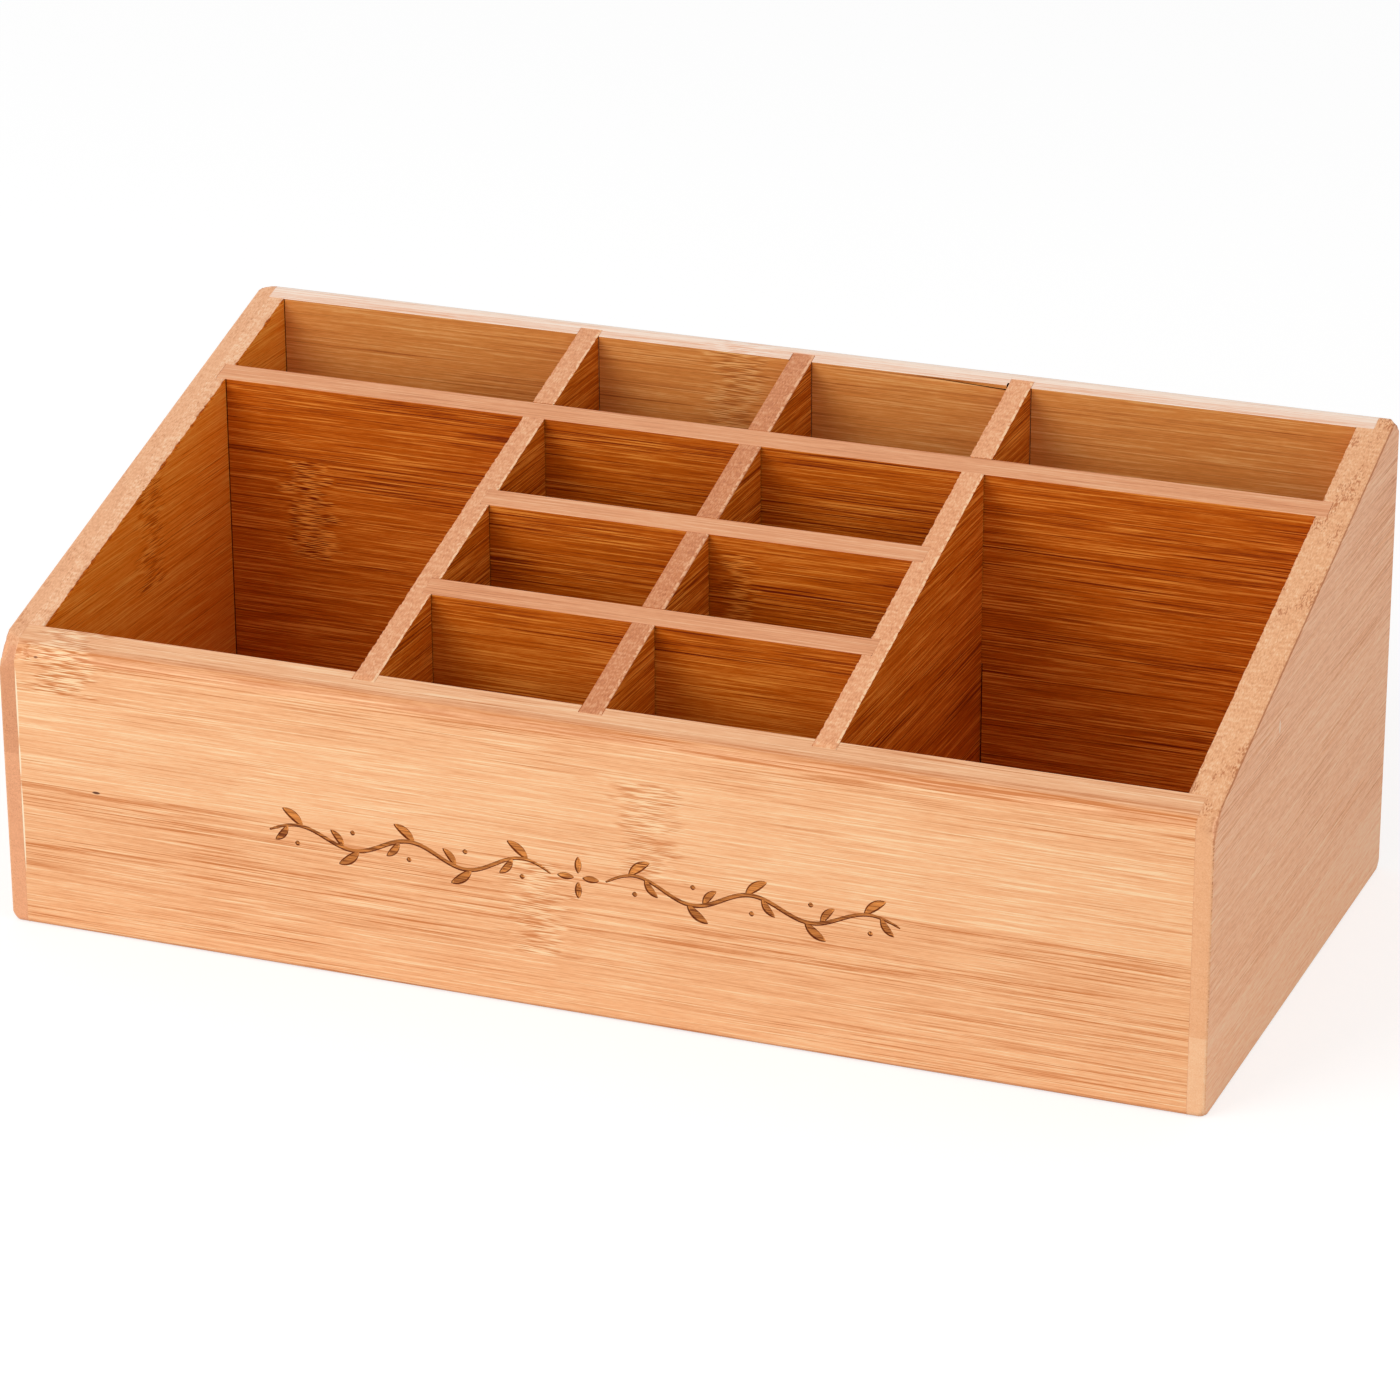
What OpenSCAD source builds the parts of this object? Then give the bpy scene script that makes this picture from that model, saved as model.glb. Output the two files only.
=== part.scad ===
// Open vanity organizer made of glued bamboo boards.
// Millimetres. X runs along the width, Y from the front to the back, Z up.
// The origin is on the table under the middle of the organizer.
// The rim slants from a high back to a low front, and every divider is cut flush with it.
// The side panels carry the front and back panels in rabbets. Dividers end in grooves of the
// walls, and cross one another in halved laps.

/* [Overall size] */
// Width, side to side
overall_width = 305; // [240:1:400]
// Depth, front to back
overall_depth = 153; // [120:1:200]
// Height of the slanted rim at the front face
front_height = 73; // [50:0.5:90]
// Height of the slanted rim at the back face
back_height = 121; // [100:0.5:160]

/* [Outer walls] */
// Thickness of each side panel
side_thickness = 8.6; // [7.5:0.1:12]
// Thickness of the front panel
front_thickness = 8.6; // [7.5:0.1:12]
// Thickness of the back panel
back_thickness = 8.6; // [7.5:0.1:12]
// Depth of the side panels' rabbets that take the front and back panels
rabbet_depth = 4.3; // [3:0.1:6]
// Radius that rounds the front and back edges of the rim
rim_radius = 4; // [1:0.5:6]
// Radius that rounds the front and back edges of the foot
foot_radius = 1.5; // [0.5:0.5:6]

/* [Dividers] */
// Thickness of every divider
divider_thickness = 5.8; // [4:0.1:8]
// Clear width of the two large bays beside the side panels
outer_bay_width = 83; // [65:0.1:95]
// Clear depth of the front row of small compartments
front_row_depth = 30.6; // [26:0.1:36]
// Depth of the grooves in the walls that hold the dividers' ends
wall_groove_depth = 2.7; // [1.5:0.1:4]
// Depth of the grooves in the long dividers that hold the short cross dividers
cross_groove_depth = 2.4; // [1:0.1:3]

/* [Bottom] */
// Thickness of the bottom panel
bottom_thickness = 4; // [3:0.1:6]
// Height of the bottom panel's underside above the table
bottom_raise = 4; // [2:0.5:10]
// Depth of the grooves in the walls that hold the bottom panel
bottom_groove_depth = 2.7; // [1.5:0.1:4]

/* [Glue joints] */
// Gap left for glue at the end of a board and beside a board in its groove
glue_gap = 0.1; // [0.05:0.01:0.2]

/* [Hidden] */
$fn = 96;
// How far a cut runs past the surface that it opens
overrun = 1;
// Rows of compartments behind the front row, alike in depth
rear_row_count = 3;
// Share of a crossing's height at which the two halves of a lap meet
lap_share = 0.5;
// Bamboo of the walls, the dividers and the bottom
wall_colour = [0.93, 0.70, 0.49];
divider_colour = [0.90, 0.66, 0.45];
bottom_colour = [0.88, 0.66, 0.44];

// Outer faces
left_x = -overall_width / 2;
right_x = overall_width / 2;
front_y = -overall_depth / 2;
back_y = overall_depth / 2;
// Inner faces of the four walls
inner_left_x = left_x + side_thickness;
inner_right_x = right_x - side_thickness;
inner_front_y = front_y + front_thickness;
inner_back_y = back_y - back_thickness;
// Ends of the front and back panels in the side panels' rabbets
panel_left_x = inner_left_x - rabbet_depth + glue_gap;
panel_right_x = inner_right_x + rabbet_depth - glue_gap;
// Slope of the rim
rim_rise = (back_height - front_height) / overall_depth;
rim_angle = atan2(back_height - front_height, overall_depth);
// Top of the bottom panel, on which the dividers stand
floor_z = bottom_raise + bottom_thickness;
// How far a board's end goes into its groove
wall_tongue = wall_groove_depth - glue_gap;
cross_tongue = cross_groove_depth - glue_gap;
bottom_tongue = bottom_groove_depth - glue_gap;
// Each row behind the front row, with the cross divider in front of it
row_pitch = (inner_back_y - inner_front_y - front_row_depth) / rear_row_count;
// Middle planes of the long dividers
left_divider_x = inner_left_x + outer_bay_width + divider_thickness / 2;
right_divider_x = inner_right_x - outer_bay_width - divider_thickness / 2;
centre_divider_x = (left_divider_x + right_divider_x) / 2;
long_divider_places = [left_divider_x, centre_divider_x, right_divider_x];

// Front faces of the three cross dividers
front_cross_y = inner_front_y + front_row_depth;
middle_cross_y = front_cross_y + row_pitch;
rear_cross_y = middle_cross_y + row_pitch;

// Height of the slanted rim at a distance from the middle plane
function rim_z(y) = front_height + (y - front_y) * rim_rise;

// Height at which the halves of a lap meet, over the cross divider's front face
function lap_z(cross_y) = floor_z + (rim_z(cross_y) - floor_z) * lap_share;

// A block between two places along each axis
module block(x, y, z) {
    translate([x[0], y[0], z[0]])
        cube([x[1] - x[0], y[1] - y[0], z[1] - z[0]]);
}

// An outline in the plane of a side panel, carried along the width between two places
module across(x) {
    translate([x[0], 0, 0])
        rotate([90, 0, 90])
            linear_extrude(height = x[1] - x[0])
                children();
}

// Side view of the organizer: a slanted top edge and four rounded corners
module side_outline() {
    rim_back_run = rim_radius / tan((90 - rim_angle) / 2);
    rim_front_run = rim_radius / tan((90 + rim_angle) / 2);
    polygon([
        [front_y + foot_radius, 0],
        [back_y - foot_radius, 0],
        [back_y, foot_radius],
        [back_y, back_height - rim_back_run],
        [back_y - rim_back_run * cos(rim_angle), back_height - rim_back_run * sin(rim_angle)],
        [front_y + rim_front_run * cos(rim_angle), front_height + rim_front_run * sin(rim_angle)],
        [front_y, front_height - rim_front_run],
        [front_y, foot_radius]
    ]);
    translate([front_y + foot_radius, foot_radius])
        circle(r = foot_radius);
    translate([back_y - foot_radius, foot_radius])
        circle(r = foot_radius);
    translate([back_y - rim_radius, back_height - rim_back_run])
        circle(r = rim_radius);
    translate([front_y + rim_radius, front_height - rim_front_run])
        circle(r = rim_radius);
}

// A board that stands on the bottom panel and ends flush with the slanted rim
module standing_board(x, y) {
    across(x)
        polygon([
            [y[0], floor_z],
            [y[1], floor_z],
            [y[1], rim_z(y[1])],
            [y[0], rim_z(y[0])]
        ]);
}

// Groove of a standing divider, open at the top and down to the bottom panel
module upright_groove(x, y) {
    block(x, y, [floor_z, back_height + overrun]);
}

// Groove that the bottom panel takes in the walls around it, between two places along the width
module bottom_groove(x) {
    block(
        x,
        [inner_front_y - bottom_groove_depth, inner_back_y + bottom_groove_depth],
        [bottom_raise, floor_z + glue_gap]
    );
}

// Side panel at the left: rabbets at both ends, and grooves for the rear divider and the bottom
module side_panel() {
    rabbet_x = [inner_left_x - rabbet_depth, inner_left_x + overrun];
    difference() {
        across([left_x, inner_left_x])
            side_outline();
        block(rabbet_x, [front_y - overrun, inner_front_y], [-overrun, back_height + overrun]);
        block(rabbet_x, [inner_back_y, back_y + overrun], [-overrun, back_height + overrun]);
        upright_groove(
            [inner_left_x - wall_groove_depth, inner_left_x + overrun],
            [rear_cross_y - glue_gap, rear_cross_y + divider_thickness + glue_gap]
        );
        bottom_groove([inner_left_x - bottom_groove_depth, inner_left_x + overrun]);
    }
}

// Front or back panel between two faces, with grooves for the long dividers up to a depth
module cross_panel(y, groove_y) {
    difference() {
        intersection() {
            across([panel_left_x, panel_right_x])
                side_outline();
            block([left_x, right_x], y, [-overrun, back_height + overrun]);
        }
        for (x = long_divider_places)
            upright_groove(
                [x - divider_thickness / 2 - glue_gap, x + divider_thickness / 2 + glue_gap],
                groove_y
            );
        bottom_groove([left_x, right_x]);
    }
}

// Slot from above in a long divider, where a cross divider passes over it
module slot_from_above(x, cross_y) {
    block(
        [x - divider_thickness / 2 - overrun, x + divider_thickness / 2 + overrun],
        [cross_y - glue_gap, cross_y + divider_thickness + glue_gap],
        [lap_z(cross_y), back_height + overrun]
    );
}

// Slot from below in a cross divider, where it passes over a long divider
module slot_from_below(x, cross_y) {
    block(
        [x - divider_thickness / 2 - glue_gap, x + divider_thickness / 2 + glue_gap],
        [cross_y - overrun, cross_y + divider_thickness + overrun],
        [floor_z - overrun, lap_z(cross_y) + glue_gap]
    );
}

// Divider from the front panel to the back panel
module long_divider(x) {
    standing_board(
        [x - divider_thickness / 2, x + divider_thickness / 2],
        [inner_front_y - wall_tongue, inner_back_y + wall_tongue]
    );
}

// Long divider beside a large bay: grooved on its inner face for the short cross dividers
module bay_divider(x, groove_x) {
    difference() {
        long_divider(x);
        slot_from_above(x, rear_cross_y);
        for (cross_y = [front_cross_y, middle_cross_y])
            upright_groove(
                groove_x,
                [cross_y - glue_gap, cross_y + divider_thickness + glue_gap]
            );
    }
}

// Short divider between the two bay dividers, halved over the centre divider
module short_cross_divider(cross_y) {
    difference() {
        standing_board(
            [
                left_divider_x + divider_thickness / 2 - cross_tongue,
                right_divider_x - divider_thickness / 2 + cross_tongue
            ],
            [cross_y, cross_y + divider_thickness]
        );
        slot_from_below(centre_divider_x, cross_y);
    }
}

module left_side() {
    color(wall_colour)
        side_panel();
}

module right_side() {
    color(wall_colour)
        mirror([1, 0, 0])
            side_panel();
}

module front_panel() {
    color(wall_colour)
        cross_panel(
            [front_y - overrun, inner_front_y],
            [inner_front_y - wall_groove_depth, inner_front_y + overrun]
        );
}

module back_panel() {
    color(wall_colour)
        cross_panel(
            [inner_back_y, back_y + overrun],
            [inner_back_y - overrun, inner_back_y + wall_groove_depth]
        );
}

module bottom_panel() {
    color(bottom_colour)
        block(
            [inner_left_x - bottom_tongue, inner_right_x + bottom_tongue],
            [inner_front_y - bottom_tongue, inner_back_y + bottom_tongue],
            [bottom_raise, floor_z]
        );
}

module rear_divider() {
    color(divider_colour)
        difference() {
            standing_board(
                [inner_left_x - wall_tongue, inner_right_x + wall_tongue],
                [rear_cross_y, rear_cross_y + divider_thickness]
            );
            for (x = long_divider_places)
                slot_from_below(x, rear_cross_y);
        }
}

module left_divider() {
    inner_face_x = left_divider_x + divider_thickness / 2;
    color(divider_colour)
        bay_divider(left_divider_x, [inner_face_x - cross_groove_depth, inner_face_x + overrun]);
}

module centre_divider() {
    color(divider_colour)
        difference() {
            long_divider(centre_divider_x);
            for (cross_y = [front_cross_y, middle_cross_y, rear_cross_y])
                slot_from_above(centre_divider_x, cross_y);
        }
}

module right_divider() {
    inner_face_x = right_divider_x - divider_thickness / 2;
    color(divider_colour)
        bay_divider(right_divider_x, [inner_face_x - overrun, inner_face_x + cross_groove_depth]);
}

module front_cross_divider() {
    color(divider_colour)
        short_cross_divider(front_cross_y);
}

module middle_cross_divider() {
    color(divider_colour)
        short_cross_divider(middle_cross_y);
}

left_side();
right_side();
front_panel();
back_panel();
bottom_panel();
rear_divider();
left_divider();
centre_divider();
right_divider();
front_cross_divider();
middle_cross_divider();
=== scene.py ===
import math
import random

import bmesh
import bpy
from mathutils import Euler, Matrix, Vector


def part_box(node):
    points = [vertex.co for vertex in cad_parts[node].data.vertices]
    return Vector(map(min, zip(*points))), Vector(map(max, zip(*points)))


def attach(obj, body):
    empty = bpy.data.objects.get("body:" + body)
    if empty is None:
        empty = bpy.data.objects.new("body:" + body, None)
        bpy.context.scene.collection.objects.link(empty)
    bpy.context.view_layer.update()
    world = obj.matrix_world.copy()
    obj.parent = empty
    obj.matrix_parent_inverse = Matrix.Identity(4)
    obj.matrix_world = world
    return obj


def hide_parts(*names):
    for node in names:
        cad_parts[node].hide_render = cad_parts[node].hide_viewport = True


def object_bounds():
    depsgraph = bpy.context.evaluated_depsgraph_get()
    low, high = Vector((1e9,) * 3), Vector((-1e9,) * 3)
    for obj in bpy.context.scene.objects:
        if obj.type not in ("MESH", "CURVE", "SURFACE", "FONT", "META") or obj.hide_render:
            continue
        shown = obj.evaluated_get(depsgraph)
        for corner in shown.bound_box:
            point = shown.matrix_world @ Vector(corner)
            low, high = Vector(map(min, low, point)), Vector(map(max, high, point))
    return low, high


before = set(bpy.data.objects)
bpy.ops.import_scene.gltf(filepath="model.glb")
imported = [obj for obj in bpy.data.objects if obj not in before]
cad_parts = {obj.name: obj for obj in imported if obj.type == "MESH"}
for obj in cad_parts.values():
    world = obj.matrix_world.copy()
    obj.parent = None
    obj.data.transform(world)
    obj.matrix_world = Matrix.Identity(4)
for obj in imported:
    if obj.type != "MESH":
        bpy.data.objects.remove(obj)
CAD_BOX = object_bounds()

# Looks of a slant-topped bamboo organizer with twelve compartments. Every board is a softened copy
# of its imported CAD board. Metres in the meshes and millimetres in the materials and the ornament.
# X runs along the width, Y to the back, Z up.
MM = 0.001

# Outer faces and inner faces of the four walls, and the slant of the rim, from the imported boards
RIGHT_FACE = CAD_BOX[1].x
FRONT_FACE, BACK_FACE = CAD_BOX[0].y, CAD_BOX[1].y
INNER_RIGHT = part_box("right_side")[0].x
INNER_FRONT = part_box("front_panel")[1].y
INNER_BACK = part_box("back_panel")[0].y
PANEL_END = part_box("front_panel")[1].x
REAR_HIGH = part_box("rear_divider")[1]
CROSS_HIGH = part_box("front_cross_divider")[1]
WALLS = ("left_side", "right_side", "front_panel", "back_panel")
LONG_DIVIDERS = ("left_divider", "centre_divider", "right_divider")

# Softened arrises: the outer ones, those of the rim, those along a joint, and those where two boards
# lie flush, in how many steps
OUTER_ARRIS = 0.6 * MM
RIM_ARRIS = 0.35 * MM
JOINT_ARRIS = 0.25 * MM
FLUSH_ARRIS = 0.05 * MM
ARRIS_SEGMENTS = 3
# How far the glue closes the gap round a board's end
GLUE = 0.09 * MM
# Half width of the dark line of painted shade in an inner corner
CORNER_LINE = 0.22 * MM
# Edges shorter than this lie in a groove or a slot
GROOVE_EDGE = 9 * MM
# How far the sanded corners are rounded along each edge, at the foot and at the rim, in how many
# steps, and how much more the rim's corners lose on the left and on the right
FOOT_CORNER = 4.2 * MM
RIM_CORNER = 6.0 * MM
CORNER_LOOPS = 5
RIM_CORNER_LOSS = {-1: 0.5, 1: 0.25}
# How far a frayed edge's bites reach into the faces beside it, how far apart they are, and how much
# of their depth they go down
FRAY_REACH = 1.2 * MM
FRAY_STEP = (0.4 * MM, 1.2 * MM)
BITE_DROP = 0.5
# Edges sharper than the first are softened, those flatter than the second are dissolved, and the
# shading breaks at those sharper than the third
SHARP_ANGLE = math.radians(25)
FLAT_ANGLE = math.radians(0.5)
SHADE_ANGLE = math.radians(40)
# Places closer than this are one place
NEAR = 0.02 * MM

# The photograph's camera, for a square picture
CAMERA_PLACE = Vector((0.4487, -1.1277, 0.5403))
CAMERA_AZIMUTH = math.radians(21.722)
CAMERA_ELEVATION = math.radians(21.927)
CAMERA_ROLL = math.radians(-0.258)
CAMERA_LENS = 137.21
SENSOR_WIDTH = 36.0
CAMERA_CLIP = (0.05, 50.0)

# Each light's place, size and power, what they are aimed at, and the strength of the sky
LIGHTS = {
    "key": ((-1.0, -1.5, 0.95), 1.3, 17.0),
    "fill": ((1.6, -0.7, 0.7), 1.2, 4.5),
}
LIGHT_AIM = Vector((0.0, 0.0, 0.05))
SKY_STRENGTH = 0.62
WHITE = (1.0, 1.0, 1.0, 1.0)
# The floor: its grey in the light that it throws back, its grey and its glow to the camera, and its
# half width and how far it lies under the foot
FLOOR_GREY = (0.8, 0.8, 0.8, 1.0)
SHOWN_GREY = (0.5, 0.5, 0.5, 1.0)
FLOOR_GLOW = 0.62
FLOOR_HALF = 6.0
FLOOR_DROP = 0.05 * MM

# Parts of a face's normal along an axis: above FACING it looks along it, below STANDING it doesn't,
# above END_FACING it is a side's end, and below UPRIGHT an arris stands upright
FACING = 0.9
STANDING = 0.5
END_FACING = 0.7
UPRIGHT = 0.1
# Upward part of the normal above which a face has the rim's finish
ROUNDED_RIM = 0.8
# The same for the back panel, whose rim is rounded: the part of the normal along the slant's own
BACK_RIM = 0.72

# A board's finishes, by slot: outer faces, faces inside (darkened as painted shade), rim, joint lines
# and inner corners (near-black as painted shade), and then the ends of the sides, or the floor and
# the walls of the engraving
OUTER_FINISH, SHADED_INNER_FINISH, RIM_FINISH, SHADED_JOINT_FINISH = range(4)
END_FINISH = 4
FLOOR_FINISH, WALL_FINISH = 4, 5
FINISH_PLACES = ("outer", "inner", "rim", "shaded_joint", "end")

# Axes along the grain, across the strips and through the board
ALONG_WIDTH = ("X", "Z", "Y")
ALONG_DEPTH = ("Y", "Z", "X")
LYING = ("X", "Y", "Z")


def srgb(red, green, blue):
    """A colour given as 0 to 255 sRGB, as the shader takes it."""
    def linear(value):
        value /= 255
        return value / 12.92 if value <= 0.04045 else ((value + 0.055) / 1.055) ** 2.4
    return (linear(red), linear(green), linear(blue), 1.0)


class Graph:
    """Short hand for a material's nodes."""

    def __init__(self, name):
        self.material = bpy.data.materials.new(name)
        self.material.use_nodes = True
        self.tree = self.material.node_tree
        self.tree.nodes.clear()

    def add(self, kind, values=None, **settings):
        """A node with values or links at its inputs."""
        node = self.tree.nodes.new(kind)
        for key, value in settings.items():
            setattr(node, key, value)
        for key, value in (values or {}).items():
            socket = node.inputs[key]
            if isinstance(value, bpy.types.NodeSocket):
                self.tree.links.new(value, socket)
            else:
                socket.default_value = value
        return node

    def math(self, operation, a, b=0.0, c=0.0):
        return self.add("ShaderNodeMath", {0: a, 1: b, 2: c}, operation=operation).outputs[0]

    def product(self, a, b):
        return self.math("MULTIPLY", a, b)

    def shifted(self, level, value, amount):
        """The level moved by the amount where the value is 1."""
        return self.math("MULTIPLY_ADD", value, amount, level)

    def cell(self, value, start, size):
        """Number of the cell that the value lies in, for cells of a size that begin at the start."""
        return self.math("FLOOR", self.math("DIVIDE", self.math("SUBTRACT", value, start), size))

    def same(self, cell, number):
        """1 in the cell with the number."""
        return self.math("COMPARE", cell, float(number), 0.5)

    def ramp(self, value, low, high, to_low=0.0, to_high=1.0, kind="SMOOTHSTEP"):
        values = {0: value, 1: low, 2: high, 3: to_low, 4: to_high}
        return self.add("ShaderNodeMapRange", values, interpolation_type=kind).outputs[0]

    def noise(self, place, scale, detail):
        """Noise with a scale along the grain, across the strips and through the board, per millimetre."""
        scaled = self.add("ShaderNodeVectorMath", {0: place, 1: scale}, operation="MULTIPLY")
        values = {"Vector": scaled.outputs[0], "Scale": 1.0, "Detail": detail}
        return self.add("ShaderNodeTexNoise", values).outputs[0]

    def spread(self, noise, reach):
        """A noise as a shift from the reach to its opposite."""
        return self.ramp(noise, *NOISE_SPAN, reach, -reach, "LINEAR")

    def blend(self, share, a, b):
        """Numbers a and b mixed by share."""
        return self.add("ShaderNodeMix", {0: share, 2: a, 3: b}, data_type="FLOAT").outputs[0]

    def tint(self, share, a, b):
        """Colours a and b mixed by share."""
        return self.add("ShaderNodeMix", {0: share, 6: a, 7: b}, data_type="RGBA").outputs[2]

    def colours(self, level, stops):
        """The colour at a level between stops, each a place and a colour."""
        node = self.add("ShaderNodeValToRGB", {0: level})
        elements = node.color_ramp.elements
        while len(elements) < len(stops):
            elements.new(0.5)
        for element, (place, colour) in zip(elements, stops):
            element.position, element.color = place, colour
        return node.outputs[0]

    def facing(self):
        """Parts of the surface's normal along X, Y and Z."""
        normal = self.add("ShaderNodeNewGeometry").outputs["Normal"]
        return self.add("ShaderNodeSeparateXYZ", {0: normal}).outputs


class Board:
    """What a board's bamboo looks like, in millimetres.

    axes: along the grain, across the strips and through the board. strip, seam: width of the strips,
    and where one begins. layer, face: thickness of the glued layers, and where the first one begins.
    tones: those of the strips, 0 dark to 1 pale, the first for the strip below the seam.
    plies: for the first layer and for the others, a shift of the tone, and how speckled the cut is.
    knuckles: place along the grain, reach before and after it, lower and upper seam, strength, and
    level of the dark between its dashes. specks: place along and across the grain, half length, half
    width, colour. bundles: strength of the dots in the slant's cut. edge: of a dark line of painted
    shade beside the rim. glint: place of the rim's right edge, and strength of the pale dashes along
    it, frayed fibres painted paler as a highlight.
    """

    def __init__(self, axes, strip, seam, layer=20.0, face=0.0, tones=(), knuckles=(), specks=(),
                 plies=((0.0, 1.0), (0.0, 1.0)), bundles=0.0, edge=0.0, glint=None, outer="front",
                 inner="inner", rim="rim", end=None):
        self.axes = axes
        self.strip, self.seam = strip, seam
        self.layer, self.face = layer, face
        self.tones, self.knuckles, self.specks = tones, knuckles, specks
        self.plies, self.bundles = plies, bundles
        self.edge, self.glint = edge, glint
        self.finishes = (outer, inner, rim, "shaded_joint") + ((end,) if end else ())


def right_edge(name):
    """Place of a packed board's right face, in millimetres."""
    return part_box(name)[1].x / MM


def sawn_edges(name, seed):
    """Both edges of a long divider's rim, lightly frayed."""
    low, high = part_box(name)
    start, end, bite = INNER_FRONT + MM, INNER_BACK - MM, 0.2 * MM
    return (low.x, 1, start, end, bite, seed), (high.x, -1, start, end, bite, seed + 1)


BOARDS = {
    "front_panel": Board(
        ALONG_WIDTH, 24.0, 14.0, 3.4, -76.4, rim="front_rim",
        tones=(0.4, 0.25, 0.7, 0.4), plies=((-0.9, 1.0), (0.0, 1.0)),
        knuckles=(
            (-136.0, 10.0, 13.0, 62.0, 90.0, 0.75, -0.35),
            (16.0, 13.0, 8.0, 38.0, 62.0, 0.5, -0.3),
            (-11.0, 13.0, 9.0, 14.0, 38.0, 0.6, -0.2),
        ),
        specks=(
            (-127.5, 37.8, 1.1, 0.35, srgb(104, 56, 28)),
            (-142.2, 71.0, 0.6, 0.3, srgb(150, 90, 50)),
            (-147.95, 58.0, 0.24, 9.5, srgb(255, 232, 196)),
            (-147.95, 43.5, 0.24, 4.5, srgb(255, 232, 196)),
            (-147.95, 26.0, 0.24, 12.0, srgb(255, 232, 196)),
        )),
    "back_panel": Board(
        ALONG_WIDTH, 24.0, 2.0, 2.3, 67.95, outer="side", inner="rear_inner", rim="back_rim",
        tones=(0.3, 0.3, 0.3, 0.35, 0.35, 0.55), plies=((-0.85, 1.0), (0.0, 1.0)),
        knuckles=((-17.0, 10.0, 9.0, 98.0, 130.0, 0.55, -0.1),)),
    "rear_divider": Board(
        ALONG_WIDTH, 26.5, 8.0, tones=(0.4, 0.5, 0.6, 0.55, 0.45),
        knuckles=((-121.0, 9.0, 8.0, 61.0, 87.5, 1.0, -0.05),)),
    "front_cross_divider": Board(ALONG_WIDTH, 25.0, 4.0, tones=(0.5, 0.95, 0.95, 0.9, 0.35)),
    "middle_cross_divider": Board(
        ALONG_WIDTH, 25.0, 15.0, face=-10.0, tones=(0.2, 0.2, 0.2, 0.25, 0.55),
        knuckles=((11.0, 5.0, 5.0, 65.0, 92.0, 0.75, 0.1),)),
    "left_side": Board(
        ALONG_DEPTH, 25.0, 20.0, 4.4, -152.6, outer="side", inner="side_inner", rim="side_rim",
        end="left_end", tones=(0.75, 0.65, 0.35, 0.35, 0.6), plies=((-0.35, 0.45), (0.5, 1.0)),
        bundles=0.35, edge=0.3, knuckles=((-11.0, 8.0, 9.0, 66.0, 110.0, 0.5, -0.2),)),
    "right_side": Board(
        ALONG_DEPTH, 25.0, 20.0, 4.4, 143.8, outer="side", inner="side_inner", rim="right_rim",
        end="right_end", tones=(0.95, 0.45, 0.45, 0.25, 0.25), plies=((0.25, 0.8), (0.1, 0.8)),
        bundles=1.0, edge=0.6, specks=((-24.2, 76.2, 0.4, 1.8, srgb(250, 228, 204)),)),
    "left_divider": Board(
        ALONG_DEPTH, 25.0, 6.0, face=-70.0, tones=(0.5, 0.5, 0.5, 0.6, 0.6, 0.6),
        glint=(right_edge("left_divider"), 0.6)),
    "centre_divider": Board(
        ALONG_DEPTH, 25.0, 12.0, face=-10.0, rim="centre_rim", tones=(0.5, 0.5, 0.5, 0.6, 0.5, 0.5),
        glint=(right_edge("centre_divider"), 1.0)),
    "right_divider": Board(
        ALONG_DEPTH, 25.0, 20.0, face=50.0, rim="pale_rim", tones=(0.5, 0.5, 0.4, 0.65, 0.65, 0.65),
        glint=(right_edge("right_divider"), 0.6)),
    "bottom_panel": Board(LYING, 24.0, 3.0, face=-10.0),
}

# Frayed edges of the rim: where across the width, which way into the board, from the front, to the
# back, deepest bite and seed
FRAYED = {
    "left_side": ((-INNER_RIGHT, -1, -62 * MM, 66 * MM, 0.55 * MM, 5),),
    "left_divider": sawn_edges("left_divider", 6),
    "right_divider": sawn_edges("right_divider", 8),
    "right_side": ((INNER_RIGHT, 1, -62 * MM, 66 * MM, 0.15 * MM, 10),),
}


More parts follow.
